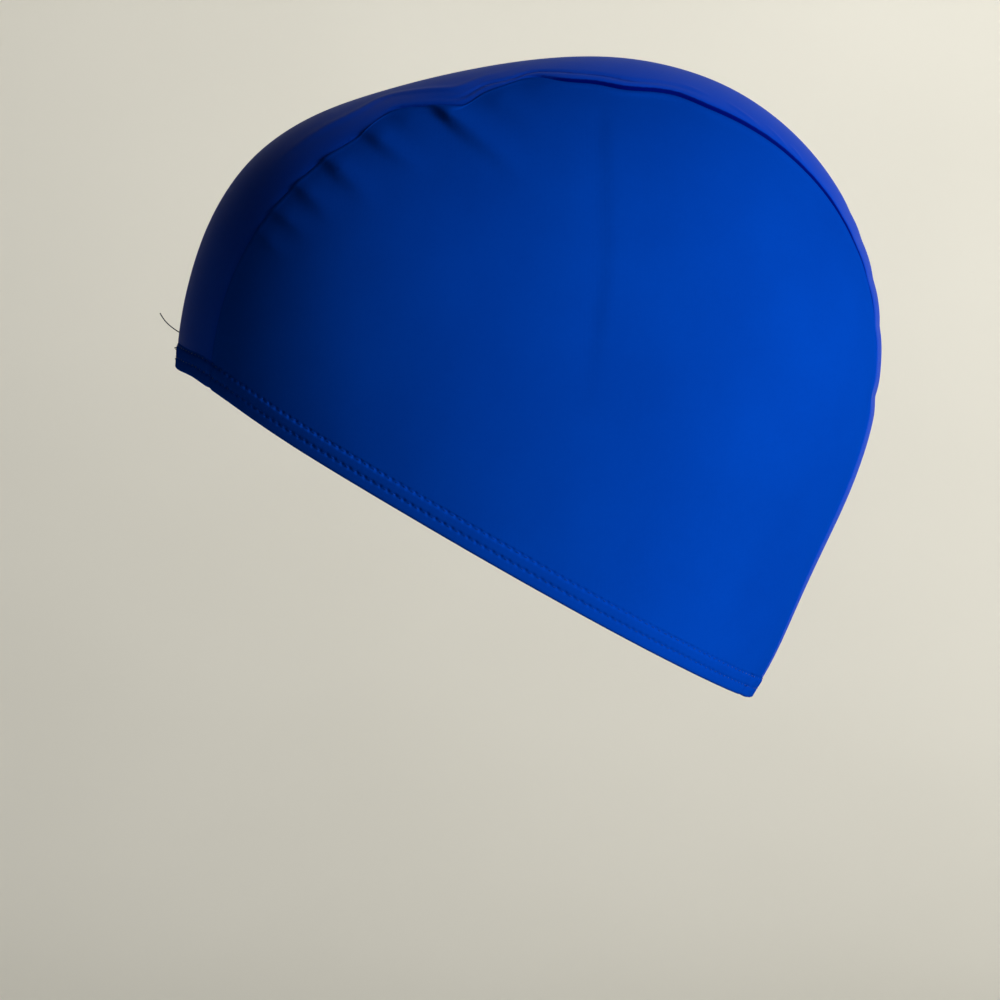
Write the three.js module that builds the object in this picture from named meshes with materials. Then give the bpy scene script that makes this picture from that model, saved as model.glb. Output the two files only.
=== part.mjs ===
// A swim cap of stretch fabric in the shape that it takes on a head. Two side panels are seamed to a strip that runs
// over the crown from the forehead to the nape, and a doubled hem finishes the opening.
// Lengths are in millimetres. +X points to the back of the head, +Y to the wearer's right and +Z up.
// The shape is worked out from the head centre, and the finished cap is then moved to stand on its own origin, the
// inner face of the crown straight above that centre, where the top of the head bears.
import * as THREE from 'three';
import { mergeVertices } from 'three/addons/utils/BufferGeometryUtils.js';

const { degToRad, lerp, smoothstep, euclideanModulo } = THREE.MathUtils;

// The head form that the fabric is stretched over
const halfLength = 96.5;
const crownRise = 94.3;
const halfWidth = 75;
const templeReach = 1.03; // share of halfLength and crownRise that the sections meet at, over the temples
const templeRoundness = 2.1;

// Hem line, straight in side view, given by the heights of its two ends from the head centre
const foreheadRise = 8.5;
const napeDrop = 81.8;
// The side panels pull the hem up beside the forehead: hemPull at hemPullPlace behind its front, fading to both sides
const hemPull = 1.7;
const hemPullPlace = 8;
const hemPullFront = 6;
const hemPullBack = 22;

// Fabric
const wall = 1.2;
const hemWall = 2.4;
const hemProud = 0.4;
const hemHeight = 6.6;
const stripHalfWidth = 40;

// Seams
const pieceGap = 0.3;
const seamDip = 1.3;
const seamRoll = 2.2;

// Gathers and puckers
const gatherLength = 17;
const gatherWidth = 2.3;
const gatherRise = 1.1;
const wanderReach = 5;
const wanderSpread = 4; // degrees of the outline
const puckerDepth = 1.6;
const puckerWidth = 2.6;
const puckerReach = 9;
const puckerStripReach = 16;

// Facets
const frontSteps = 6;
const gatherSteps = 30;
const backSteps = 24;
const sideRows = 11;
const rowGrading = 1.5;
const ringSteps = 84;

// Sections of the head form every 20 degrees, turned about its transverse axis from the back of the head over the
// crown. reach is a share of halfLength and crownRise, strip is a share of stripHalfWidth, and roundness is the
// exponent of the cross section, where 2 is an ellipse and less is more pointed.
const sections = [
  { angle: 0, place: 'back of the head', reach: 0.881, strip: 0.58, roundness: 2.12 },
  { angle: 20, place: 'upper back', reach: 0.936, strip: 0.56, roundness: 2.15 },
  { angle: 40, place: 'back of the crown', reach: 0.991, strip: 0.72, roundness: 2.15 },
  { angle: 60, place: 'back of the crown', reach: 1.023, strip: 0.9, roundness: 2.15 },
  { angle: 80, place: 'crown', reach: 1.004, strip: 0.92, roundness: 2.15 },
  { angle: 100, place: 'crown', reach: 0.978, strip: 0.8, roundness: 2.15 },
  { angle: 120, place: 'front of the crown', reach: 1.017, strip: 0.9, roundness: 2.15 },
  { angle: 140, place: 'front of the crown', reach: 1.153, strip: 1.076, roundness: 2.08 },
  { angle: 160, place: 'forehead', reach: 1.123, strip: 0.885, roundness: 2.0 },
  { angle: 180, place: 'forehead', reach: 1.101, strip: 0.814, roundness: 1.95 },
  { angle: 200, place: 'temples', reach: 1.11, strip: 0.753, roundness: 1.95 },
  { angle: 220, place: 'temples', reach: 1.16, strip: 0.633, roundness: 2.0 },
  { angle: 240, place: 'ears', reach: 1.24, strip: 0.6, roundness: 2.2 },
  { angle: 260, place: 'ears', reach: 1.28, strip: 0.4, roundness: 2.1 },
  { angle: 280, place: 'behind the ears', reach: 1.19, strip: 0.28, roundness: 1.9 },
  { angle: 300, place: 'nape', reach: 1.03, strip: 0.22, roundness: 1.7 },
  { angle: 320, place: 'nape', reach: 0.855, strip: 0.36, roundness: 1.8 },
  { angle: 340, place: 'lower back', reach: 0.84, strip: 0.52, roundness: 2.0 },
];

// Folds that run down a side panel from the seam over the front of the crown. angle is where a fold leaves the seam,
// lean its slope below the horizontal towards the back, and the rest are shares of the gather sizes.
const gathers = {
  left: [
    { angle: 97, lean: 30, length: 0.9, width: 1.5, rise: 0.25 },
    { angle: 105, lean: 27, length: 1.2, width: 1.2, rise: 0.45 },
    { angle: 113.6, lean: 33, length: 1.6, width: 1.15, rise: 1.2 },
    { angle: 119.5, lean: 42, length: 1.1, width: 1.4, rise: 0.4 },
    { angle: 126, lean: 33, length: 1.1, width: 1.0, rise: 0.95 },
    { angle: 134, lean: 41, length: 0.95, width: 0.95, rise: 0.85 },
    { angle: 140.5, lean: 41, length: 0.8, width: 0.85, rise: 0.65 },
    { angle: 147.5, lean: 37, length: 0.7, width: 0.9, rise: 0.45 },
  ],
  right: [
    { angle: 97, lean: 34, length: 0.9, width: 1.5, rise: 0.3 },
    { angle: 108, lean: 36, length: 1.4, width: 1.1, rise: 1.0 },
    { angle: 116, lean: 42, length: 1.1, width: 1.2, rise: 0.6 },
    { angle: 124.5, lean: 37, length: 1.0, width: 1.0, rise: 0.85 },
    { angle: 131.5, lean: 40, length: 0.9, width: 0.9, rise: 0.75 },
    { angle: 138, lean: 38, length: 0.75, width: 0.85, rise: 0.55 },
    { angle: 145.5, lean: 41, length: 0.65, width: 0.8, rise: 0.4 },
  ],
};

// Places where a seam wanders off its smooth line: shift is a share of wanderReach, away from the middle of the cap.
const wanders = {
  left: [
    { angle: 120, shift: -0.85 },
    { angle: 109, shift: 1 },
    { angle: 96, shift: -0.7 },
    { angle: 80, shift: 0.25 },
    { angle: 71, shift: -0.2 },
  ],
  right: [
    { angle: 127, shift: -0.6 },
    { angle: 114, shift: 0.7 },
    { angle: 101, shift: -0.35 },
    { angle: 76, shift: -0.2 },
  ],
};

// Puckers that the seam thread draws across a seam at the back of the head. depth is a share of puckerDepth.
const puckers = {
  left: [
    { angle: 34, depth: 0.45 },
    { angle: 29, depth: 0.55 },
    { angle: 22, depth: 0.45 },
    { angle: 13.6, depth: 0.5 },
    { angle: 0.5, depth: 1 },
  ],
  right: [
    { angle: 36, depth: 0.3 },
    { angle: 26, depth: 0.4 },
    { angle: 17, depth: 0.35 },
    { angle: 5, depth: 0.6 },
    { angle: -5, depth: 0.45 },
  ],
};

const turn = 2 * Math.PI;
const sectionStep = turn / sections.length;

// A column of the sections at any angle, as a uniform cubic B-spline round the head
function sectionValue(column, angle) {
  const place = euclideanModulo(angle / sectionStep, sections.length);
  const first = Math.floor(place);
  const t = place - first;
  const weights = [(1 - t) ** 3, 3 * t ** 3 - 6 * t ** 2 + 4, 3 * (t + t ** 2 - t ** 3) + 1, t ** 3];
  return weights.reduce((sum, weight, k) => {
    const row = sections[euclideanModulo(first + k - 1, sections.length)];
    return sum + (weight / 6) * row[column];
  }, 0);
}

// The point on the outline of the head form, in the plane y = 0
function outlinePoint(angle) {
  const reach = sectionValue('reach', angle);
  return new THREE.Vector3(halfLength * reach * Math.cos(angle), 0, crownRise * reach * Math.sin(angle));
}

// How far out a point lies along its ray from the head centre: 1 on the head form. The sections keep their own shape
// round the outline and grow alike towards the temples, where they all meet.
function gauge(point) {
  const along = point.x / halfLength;
  const up = point.z / crownRise;
  const radial = Math.hypot(along, up);
  const lateral = Math.abs(point.y / halfWidth);
  const angle = Math.atan2(up, along);
  const own = smoothstep(radial / Math.hypot(radial, lateral), 0, 0.85);
  const reach = lerp(templeReach, sectionValue('reach', angle), own);
  const exponent = lerp(templeRoundness, sectionValue('roundness', angle), own);
  return ((radial / reach) ** exponent + lateral ** exponent) ** (1 / exponent);
}

function onHeadForm(point) {
  return point.clone().divideScalar(gauge(point));
}

// The outward normal of the head form, from small steps to both sides along each axis
function outwardNormal(point) {
  const step = 0.05;
  const slope = (axis) => {
    const ahead = point.clone();
    const behind = point.clone();
    ahead[axis] += step;
    behind[axis] -= step;
    return gauge(ahead) - gauge(behind);
  };
  return new THREE.Vector3(slope('x'), slope('y'), slope('z')).normalize();
}

// The value between low and high where test changes from true to false
function turningPoint(low, high, test) {
  let [yes, no] = [low, high];
  for (let i = 0; i < 40; i += 1) {
    const middle = (yes + no) / 2;
    if (test(middle)) yes = middle;
    else no = middle;
  }
  return yes;
}

// The point of a section at the distance y from the middle of the cap
function sectionPoint(angle, y) {
  const outline = outlinePoint(angle);
  const at = (share) => new THREE.Vector3(outline.x * share, y, outline.z * share);
  return at(turningPoint(0, 1, (share) => gauge(at(share)) < 1));
}

// The hem line in side view, and how far a point lies above it, square to the line
const crownAngle = degToRad(90);
const foreheadEnd = outlinePoint(turningPoint(crownAngle, degToRad(200), (a) => outlinePoint(a).z > foreheadRise));
const napeEnd = outlinePoint(turningPoint(0, degToRad(-85), (a) => outlinePoint(a).z > -napeDrop));
const hemLine = napeEnd.clone().sub(foreheadEnd).normalize();
const hemUp = new THREE.Vector3(-hemLine.z, 0, hemLine.x);

function heightOverHem(point) {
  return point.clone().sub(foreheadEnd).dot(hemUp);
}

// A point of the head form after the hem has been pulled up beside the forehead
function pulledUp(point) {
  const behind = point.clone().sub(foreheadEnd).dot(hemLine);
  const fade = 1 - smoothstep(heightOverHem(point), 0, 2 * hemPullBack);
  const reach = behind < hemPullPlace ? hemPullFront : hemPullBack;
  const pull = hemPull * fade * Math.exp(-(((behind - hemPullPlace) / reach) ** 2));
  return onHeadForm(point.clone().addScaledVector(hemUp, pull));
}

// The angles where a seam, or a line beside it, comes down to a height over the hem
function seamEnds(offset, height) {
  const above = (angle) => heightOverHem(sectionPoint(angle, offset(angle))) > height;
  return {
    front: turningPoint(crownAngle, degToRad(200), above),
    back: turningPoint(crownAngle, degToRad(-85), above),
  };
}

// The seam's distance from the middle of the cap, with its wanders
function seamOffset(side, angle) {
  const stray = wanders[side].reduce((sum, row) => {
    const off = (angle - degToRad(row.angle)) / degToRad(wanderSpread);
    return sum + row.shift * wanderReach * Math.exp(-(off ** 2));
  }, 0);
  return stripHalfWidth * sectionValue('strip', angle) + stray;
}

// Points round a loop that stays at one height over the hem: turn 0 is at the forehead, half a turn at the nape
function loopAt(height) {
  const onLine = (angle) => heightOverHem(outlinePoint(angle)) > height;
  const front = outlinePoint(turningPoint(crownAngle, degToRad(200), onLine));
  const back = outlinePoint(turningPoint(crownAngle, degToRad(-85), onLine));
  return {
    front,
    back,
    point(angle) {
      const inPlane = front.clone().lerp(back, (1 - Math.cos(angle)) / 2);
      const at = (y) => inPlane.clone().setY(y);
      const reach = turningPoint(0, halfWidth, (y) => gauge(at(y)) < 1);
      return at(Math.sign(Math.sin(angle)) * reach);
    },
    turnOf(point) {
      const along = point.clone().setY(0).sub(front).length() / back.clone().sub(front).length();
      return Math.acos(1 - 2 * along);
    },
  };
}

// Height of the gathers at a point of a side panel, whose folds start on the seam
function gatherHeight(side, point) {
  return gathers[side].reduce((sum, row) => {
    const angle = degToRad(row.angle);
    const root = sectionPoint(angle, seamOffset(side, angle));
    const lean = degToRad(row.lean);
    const run = new THREE.Vector2(point.x - root.x, point.z - root.z);
    const along = run.x * Math.cos(lean) - run.y * Math.sin(lean);
    const across = run.x * Math.sin(lean) + run.y * Math.cos(lean);
    const fade = 1 - smoothstep(along, 0, row.length * gatherLength);
    return sum + row.rise * gatherRise * fade * Math.exp(-((across / (row.width * gatherWidth)) ** 2));
  }, 0);
}

// Depth of the puckers at a point, which fade away from the seam within reach
function puckerDepthAt(side, point, seamDistance, reach) {
  return puckers[side].reduce((sum, row) => {
    const centre = outlinePoint(degToRad(row.angle));
    const along = new THREE.Vector2(point.x - centre.x, point.z - centre.z).length();
    const fade = Math.exp(-((seamDistance / reach) ** 2));
    return sum + row.depth * puckerDepth * fade * Math.exp(-((along / puckerWidth) ** 2));
  }, 0);
}

function seamDipAt(seamDistance) {
  return seamDip * (1 - smoothstep(seamDistance, 0, seamRoll));
}

// A closed solid from a grid of outer points and the grid of inner points under it. Rows may shrink to one point.
function wallSolid(outer, inner) {
  const corners = [];
  const addTriangle = (...points) => {
    const [a, b, c] = points;
    const twoAlike = a.distanceTo(b) < 1e-3 || b.distanceTo(c) < 1e-3 || c.distanceTo(a) < 1e-3;
    if (!twoAlike) points.forEach((point) => corners.push(...point.toArray()));
  };
  const addQuad = (a, b, c, d) => {
    addTriangle(a, b, c);
    addTriangle(a, c, d);
  };
  const lastRow = outer.length - 1;
  const lastColumn = outer[0].length - 1;
  for (let i = 0; i < lastRow; i += 1) {
    for (let j = 0; j < lastColumn; j += 1) {
      addQuad(outer[i][j], outer[i][j + 1], outer[i + 1][j + 1], outer[i + 1][j]);
      addQuad(inner[i][j], inner[i + 1][j], inner[i + 1][j + 1], inner[i][j + 1]);
    }
    addQuad(outer[i][0], outer[i + 1][0], inner[i + 1][0], inner[i][0]);
    addQuad(outer[i + 1][lastColumn], outer[i][lastColumn], inner[i][lastColumn], inner[i + 1][lastColumn]);
  }
  for (let j = 0; j < lastColumn; j += 1) {
    addQuad(outer[0][j + 1], outer[0][j], inner[0][j], inner[0][j + 1]);
    addQuad(outer[lastRow][j], outer[lastRow][j + 1], inner[lastRow][j + 1], inner[lastRow][j]);
  }
  return weldedGeometry(corners);
}

// A closed ring from sections that are closed loops of points
function ringSolid(loops) {
  const corners = [];
  loops.forEach((loop, i) => {
    const next = loops[(i + 1) % loops.length];
    loop.forEach((point, j) => {
      const k = (j + 1) % loop.length;
      const quad = [point, next[j], next[k], loop[k]];
      [0, 1, 2, 0, 2, 3].forEach((corner) => corners.push(...quad[corner].toArray()));
    });
  });
  return weldedGeometry(corners);
}

function weldedGeometry(corners) {
  const geometry = new THREE.BufferGeometry();
  geometry.setAttribute('position', new THREE.Float32BufferAttribute(corners, 3));
  const welded = mergeVertices(geometry, 1e-3);
  welded.computeVertexNormals();
  return welded;
}

// Shares of the way along a seam, closest together where the side panels are gathered
function stationShares(ends) {
  const shareAt = (angle) => (ends.front - degToRad(angle)) / (ends.front - ends.back);
  const stretches = [
    { from: 0, to: shareAt(155), steps: frontSteps },
    { from: shareAt(155), to: shareAt(95), steps: gatherSteps },
    { from: shareAt(95), to: 1, steps: backSteps },
  ];
  const shares = stretches.flatMap(({ from, to, steps }) =>
    Array.from({ length: steps }, (_, k) => lerp(from, to, k / steps)),
  );
  return [...shares, 1];
}

// A point between two points of the head form, on the arc that joins them seen from the head centre
function arcPoint(start, end, share) {
  const spread = start.angleTo(end);
  if (spread < 1e-6) return start.clone();
  const fromStart = start.clone().normalize().multiplyScalar(Math.sin((1 - share) * spread));
  const fromEnd = end.clone().normalize().multiplyScalar(Math.sin(share * spread));
  return onHeadForm(fromStart.add(fromEnd));
}

// A side panel: arcs run from the seam down to the hem, and shrink to a point at the forehead and at the nape
function sidePanelGeometry(side) {
  const sign = side === 'left' ? -1 : 1;
  const height = hemHeight + pieceGap;
  const offset = (angle) => seamOffset(side, angle) + pieceGap / 2;
  const ends = seamEnds(offset, height);
  const loop = loopAt(height);
  const startTurn = loop.turnOf(sectionPoint(ends.front, offset(ends.front)));
  const endTurn = loop.turnOf(sectionPoint(ends.back, offset(ends.back)));
  const outer = [];
  const inner = [];
  stationShares(ends).forEach((share) => {
    const angle = lerp(ends.front, ends.back, share);
    const top = sectionPoint(angle, offset(angle));
    const bottom = loop.point(lerp(startTurn, endTurn, share));
    const isCorner = share === 0 || share === 1;
    const length = isCorner ? 0 : top.angleTo(bottom) * (top.length() + bottom.length()) / 2;
    const rollShare = isCorner ? 0 : Math.min(seamRoll / length, 1 / sideRows);
    const outerRow = [];
    const innerRow = [];
    for (let row = 0; row <= sideRows; row += 1) {
      const graded = row === 0 ? 0 : lerp(rollShare, 1, ((row - 1) / (sideRows - 1)) ** rowGrading);
      const base = pulledUp(isCorner ? top : arcPoint(top, bottom, graded));
      const seamDistance = graded * length;
      const folds = gatherHeight(side, base) - puckerDepthAt(side, base, seamDistance, puckerReach);
      const relief = folds - seamDipAt(seamDistance);
      const mirrored = new THREE.Vector3(1, sign, 1);
      const normal = outwardNormal(base).multiply(mirrored);
      base.multiply(mirrored);
      outerRow.push(base.clone().addScaledVector(normal, relief));
      innerRow.push(base.clone().addScaledVector(normal, relief - wall));
    }
    outer.push(outerRow);
    inner.push(innerRow);
  });
  return side === 'left' ? wallSolid(outer, inner) : wallSolid(outer.reverse(), inner.reverse());
}

// The strip over the crown: rows run across it from the left seam to the right one
function crownStripGeometry() {
  const height = hemHeight + pieceGap;
  const shares = [-1, -0.7, -0.35, 0, 0.35, 0.7, 1];
  const lines = [];
  shares.forEach((share) => {
    const side = share < 0 ? 'left' : 'right';
    const reach = Math.abs(share);
    const edge = (angle) => seamOffset(side, angle) - pieceGap / 2;
    lines.push({ side, sign: Math.sign(share), edge, offset: (angle) => reach * edge(angle) });
    if (reach === 1) lines.push({ side, sign: Math.sign(share), edge, offset: (angle) => edge(angle) - seamRoll });
  });
  lines.sort((a, b) => a.sign * a.offset(crownAngle) - b.sign * b.offset(crownAngle));
  const ends = lines.map(({ offset }) => seamEnds(offset, height));
  const stations = stationShares(seamEnds((angle) => seamOffset('left', angle), height));
  const outer = [];
  const inner = [];
  stations.forEach((station) => {
    const outerRow = [];
    const innerRow = [];
    lines.forEach(({ side, sign, edge, offset }, k) => {
      const angle = lerp(ends[k].front, ends[k].back, station);
      const base = pulledUp(sectionPoint(angle, offset(angle)));
      const seamDistance = edge(angle) - offset(angle);
      const relief = -puckerDepthAt(side, base, seamDistance, puckerStripReach) - seamDipAt(seamDistance);
      const mirrored = new THREE.Vector3(1, sign || 1, 1);
      const normal = outwardNormal(base).multiply(mirrored);
      base.multiply(mirrored);
      outerRow.push(base.clone().addScaledVector(normal, relief));
      innerRow.push(base.clone().addScaledVector(normal, relief - wall));
    });
    outer.push(outerRow.reverse());
    inner.push(innerRow.reverse());
  });
  return wallSolid(outer, inner);
}

// The doubled hem, with a rounded folded edge at the bottom. face is a share of the hem's wall from its outer face.
function hemGeometry() {
  const profile = [
    { height: 1, face: 0 },
    { height: 0.5, face: 0 },
    { height: 0.12, face: 0.08 },
    { height: 0, face: 0.4 },
    { height: 0, face: 0.6 },
    { height: 0.12, face: 0.92 },
    { height: 0.5, face: 1 },
    { height: 1, face: 1 },
  ];
  const loops = profile.map((row) => loopAt(row.height * hemHeight));
  const rings = Array.from({ length: ringSteps }, (_, k) => {
    const angle = (k / ringSteps) * turn;
    return profile.map((row, i) => {
      const base = pulledUp(loops[i].point(angle));
      return base.addScaledVector(outwardNormal(base), hemProud - row.face * hemWall);
    });
  });
  return ringSolid(rings);
}

const fabric = new THREE.MeshStandardMaterial({ color: 0x0040ae, roughness: 0.5, metalness: 0 });
const hemFabric = new THREE.MeshStandardMaterial({ color: 0x003ca6, roughness: 0.55, metalness: 0 });

function namedMesh(name, geometry, material) {
  const mesh = new THREE.Mesh(geometry, material);
  mesh.name = name;
  return mesh;
}

const cap = new THREE.Group();
cap.name = 'swim_cap';
cap.add(namedMesh('side_panel_left', sidePanelGeometry('left'), fabric));
cap.add(namedMesh('side_panel_right', sidePanelGeometry('right'), fabric));
cap.add(namedMesh('crown_strip', crownStripGeometry(), fabric));
cap.add(namedMesh('hem_band', hemGeometry(), hemFabric));
cap.position.z = wall - outlinePoint(crownAngle).z;

const worn = new THREE.Group();
worn.add(cap);

export default worn;
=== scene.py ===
import math

import bpy
import numpy as np
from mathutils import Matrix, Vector


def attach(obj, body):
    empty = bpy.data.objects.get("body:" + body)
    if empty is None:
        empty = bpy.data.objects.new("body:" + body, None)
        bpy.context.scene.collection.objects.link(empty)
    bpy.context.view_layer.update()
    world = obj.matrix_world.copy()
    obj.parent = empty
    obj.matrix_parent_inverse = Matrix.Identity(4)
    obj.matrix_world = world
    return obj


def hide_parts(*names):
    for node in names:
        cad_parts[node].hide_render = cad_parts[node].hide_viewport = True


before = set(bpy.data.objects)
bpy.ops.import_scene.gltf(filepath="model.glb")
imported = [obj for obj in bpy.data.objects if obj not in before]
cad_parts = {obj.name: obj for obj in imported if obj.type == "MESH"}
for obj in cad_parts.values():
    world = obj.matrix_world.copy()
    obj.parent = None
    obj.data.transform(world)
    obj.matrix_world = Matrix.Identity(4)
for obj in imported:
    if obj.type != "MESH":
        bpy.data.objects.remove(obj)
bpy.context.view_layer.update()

# Driving sizes in millimetres, the same as in the solids
HALF_LENGTH = 96.5
CROWN_RISE = 94.3
HALF_WIDTH = 75.0
TEMPLE_REACH = 1.03
TEMPLE_ROUNDNESS = 2.1
FOREHEAD_RISE = 8.5
NAPE_DROP = 81.8
HEM_PULL = 1.7
HEM_PULL_PLACE = 8.0
HEM_PULL_FRONT = 6.0
HEM_PULL_BACK = 22.0
WALL = 1.2
HEM_HEIGHT = 6.6
STRIP_HALF_WIDTH = 40.0
SEAM_DIP = 1.3
GATHER_LENGTH = 17.0
GATHER_WIDTH = 2.3
GATHER_RISE = 1.1
WANDER_REACH = 5.0
WANDER_SPREAD = 4.0
PUCKER_DEPTH = 1.6
PUCKER_WIDTH = 2.6
PUCKER_REACH = 9.0
PUCKER_STRIP_REACH = 16.0

# Sizes in millimetres of what only the dressed pieces have
HEM_CLEAR = 0.25
SEAM_CLEAR = 0.02
PANEL_EDGE_ROLL = 1.5
STRIP_EDGE_ROLL = 2.4
RIDGE_HEIGHT = 0.36
RIDGE_PLACE = 2.4
RIDGE_WIDTH = 1.1
ALLOWANCE = 0.35
ALLOWANCE_END = (4.6, 5.4)
CREASE_STEP = 0.16
CREASE_PLACE = 9.5
CREASE_LEAN = 6.5
HEM_SEAM_DEPTH = 0.55
HEM_SEAM_WIDTH = 0.8
JOIN_PLACE = 4.2
JOIN_DEPTH = 0.5
JOIN_WIDTH = 0.55
NEEDLE_DEPTH = 0.34
NEEDLE_SPREAD = 0.36
NEEDLE_REACH = 0.42
STITCH_HALF = 0.62
STITCH_RADIUS = 0.13
LOOPER_DEPTHS = (1.95, 2.07)
LOOPER_RADIUS = 0.16

# Slow unevenness of the cloth: height, wavelength and seed
PANEL_WAVES = [(0.10, 26, 5), (0.035, 7, 9)]
STRIP_WAVES = [(0.08, 30, 15)]
HEM_WAVES = [(0.06, 9, 21)]

# angle, reach, strip, roundness
SECTIONS = [
    (0, 0.881, 0.58, 2.12),
    (20, 0.936, 0.56, 2.15),
    (40, 0.991, 0.72, 2.15),
    (60, 1.023, 0.9, 2.15),
    (80, 1.004, 0.92, 2.15),
    (100, 0.978, 0.8, 2.15),
    (120, 1.017, 0.9, 2.15),
    (140, 1.153, 1.076, 2.08),
    (160, 1.123, 0.885, 2.0),
    (180, 1.101, 0.814, 1.95),
    (200, 1.11, 0.753, 1.95),
    (220, 1.16, 0.633, 2.0),
    (240, 1.24, 0.6, 2.2),
    (260, 1.28, 0.4, 2.1),
    (280, 1.19, 0.28, 1.9),
    (300, 1.03, 0.22, 1.7),
    (320, 0.855, 0.36, 1.8),
    (340, 0.84, 0.52, 2.0),
]
REACH, STRIP, ROUNDNESS = (np.array([row[k] for row in SECTIONS]) for k in (1, 2, 3))
SECTION_STEP = 2 * math.pi / len(SECTIONS)

# Folds off the seam over the front of the crown: angle, lean, length, width, rise, and the width of the lower side as
# a share of width
GATHERS = {
    "left": [
        (97, 30, 0.9, 1.5, 0.25, 1.0),
        (105, 27, 1.3, 1.3, 0.45, 0.9),
        (113.6, 40, 2.1, 1.2, 1.45, 0.45),
        (119.5, 45, 1.2, 1.5, 0.35, 0.9),
        (126, 34, 1.35, 1.1, 1.0, 0.65),
        (134, 42, 1.2, 1.0, 0.88, 0.7),
        (140.5, 41, 1.0, 0.9, 0.65, 0.75),
        (146, 36, 0.9, 0.75, 0.5, 0.8),
        (150.5, 38, 0.8, 0.7, 0.36, 0.9),
    ],
    "right": [
        (97, 34, 0.9, 1.5, 0.3, 1.0),
        (108, 36, 1.7, 1.1, 1.0, 0.55),
        (116, 42, 1.2, 1.2, 0.5, 0.9),
        (124.5, 37, 1.2, 1.0, 0.7, 0.75),
        (131.5, 40, 1.1, 0.9, 0.6, 0.8),
        (138, 38, 0.95, 0.85, 0.45, 0.8),
        (145.5, 41, 0.85, 0.8, 0.35, 0.85),
    ],
}
WANDERS = {
    "left": [(120, -0.85), (109, 1.0), (96, -0.7), (80, 0.25), (71, -0.2)],
    "right": [(127, -0.6), (114, 0.7), (101, -0.35), (76, -0.2)],
}
PUCKERS = {
    "left": [(34, 0.45), (29, 0.55), (22, 0.45), (13.6, 0.5), (0.5, 1.0)],
    "right": [(36, 0.3), (26, 0.4), (17, 0.35), (5, 0.6), (-5, 0.45)],
}

# How far a seam is drawn in, by the angle: fully over the crown and down the back, hardly over the forehead
SEAM_DRAW = [
    (60, 1.0), (88, 1.0), (97, 0.3), (106, 0.16), (110, 0.5), (119, 0.5), (124, 0.14), (150, 0.1), (175, 0.16),
]

# The roll of fabric beside the seam over the crown ends in a second line, a dip that is also darkened with painted
# shade: angle, distance from the seam
ROLL_LINE = [(62, 4.4), (79, 4.2), (84.5, 4.5), (91, 5.0), (96.3, 2.9), (99, 2.2), (104, 4.0), (116, 4.4)]

# Fine creases of the strip behind the crown: angle and distance from the seam at both ends, and height
STRIP_CREASES = [
    (70.5, 6.4, 66.0, 5.8, 0.14),
    (62.5, 6.5, 56.0, 3.0, 0.24),
    (54.2, 5.5, 50.3, 2.6, 0.24),
    (49.5, 5.1, 46.5, 2.8, 0.2),
]
DEGREE = 1.64

# Facets of the dressed pieces
GATHERED = (158, 92)
PANEL_STEPS = (60, 220, 140)
STRIP_STEPS = (60, 150, 270)
PANEL_ROWS = 100
STRIP_COLUMNS = 80
HEM_STEPS = 1704
HEM_OUTER_ROWS = 26
STITCH_PITCH = 2.4
STITCH_ROWS = (3.2, 6.2)


def section_value(column, angle):
    """A column of the sections at any angle, as a uniform cubic B-spline round the head."""
    place = np.mod(np.asarray(angle) / SECTION_STEP, len(SECTIONS))
    first = np.floor(place).astype(int)
    t = place - first
    weights = ((1 - t) ** 3, 3 * t ** 3 - 6 * t ** 2 + 4, 3 * (t + t ** 2 - t ** 3) + 1, t ** 3)
    return sum(w / 6 * column[np.mod(first + k - 1, len(SECTIONS))] for k, w in enumerate(weights))


def outline_point(angle):
    reach = section_value(REACH, angle)
    return np.stack([HALF_LENGTH * reach * np.cos(angle), np.zeros_like(reach),
                     CROWN_RISE * reach * np.sin(angle)], axis=-1)


def angle_of(points):
    return np.arctan2(points[..., 2] / CROWN_RISE, points[..., 0] / HALF_LENGTH)


def smooth(value, low, high):
    t = np.clip((value - low) / (high - low), 0, 1)
    return t * t * (3 - 2 * t)


def gauge(points):
    """How far out a point lies along its ray from the head centre: 1 on the head form."""
    angle = angle_of(points)
    radial = np.hypot(points[..., 0] / HALF_LENGTH, points[..., 2] / CROWN_RISE)
    lateral = np.abs(points[..., 1] / HALF_WIDTH)
    own = smooth(radial / np.hypot(radial, lateral), 0, 0.85)
    reach = TEMPLE_REACH + (section_value(REACH, angle) - TEMPLE_REACH) * own
    n = TEMPLE_ROUNDNESS + (section_value(ROUNDNESS, angle) - TEMPLE_ROUNDNESS) * own
    return ((radial / reach) ** n + lateral ** n) ** (1 / n)


def on_form(points):
    return points / gauge(points)[..., None]


def normals_of(points, step=0.05):
    parts = []
    for axis in range(3):
        move = np.zeros(3)
        move[axis] = step
        parts.append(gauge(points + move) - gauge(points - move))
    normal = np.stack(parts, axis=-1)
    return normal / np.linalg.norm(normal, axis=-1, keepdims=True)


def last_inside(low, high, point_at):
    """The largest share of the way from low to high whose point still lies in the head form, for whole arrays."""
    yes = low + np.zeros(np.shape(high))
    no = high + np.zeros(np.shape(high))
    for _ in range(40):
        middle = (yes + no) / 2
        inside = gauge(point_at(middle)) < 1
        yes = np.where(inside, middle, yes)
        no = np.where(inside, no, middle)
    return yes


def section_point(angle, y):
    """The point of a section at the distance y from the middle of the cap."""
    outline = outline_point(angle)
    side = np.asarray(y) + np.zeros(outline.shape[:-1])

    def point_at(share):
        return np.stack([outline[..., 0] * share, side, outline[..., 2] * share], axis=-1)

    return point_at(last_inside(0.0, np.ones(outline.shape[:-1]), point_at))


def turning_point(low, high, test):
    yes, no = low, high
    for _ in range(50):
        middle = (yes + no) / 2
        if test(middle):
            yes = middle
        else:
            no = middle
    return yes


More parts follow.
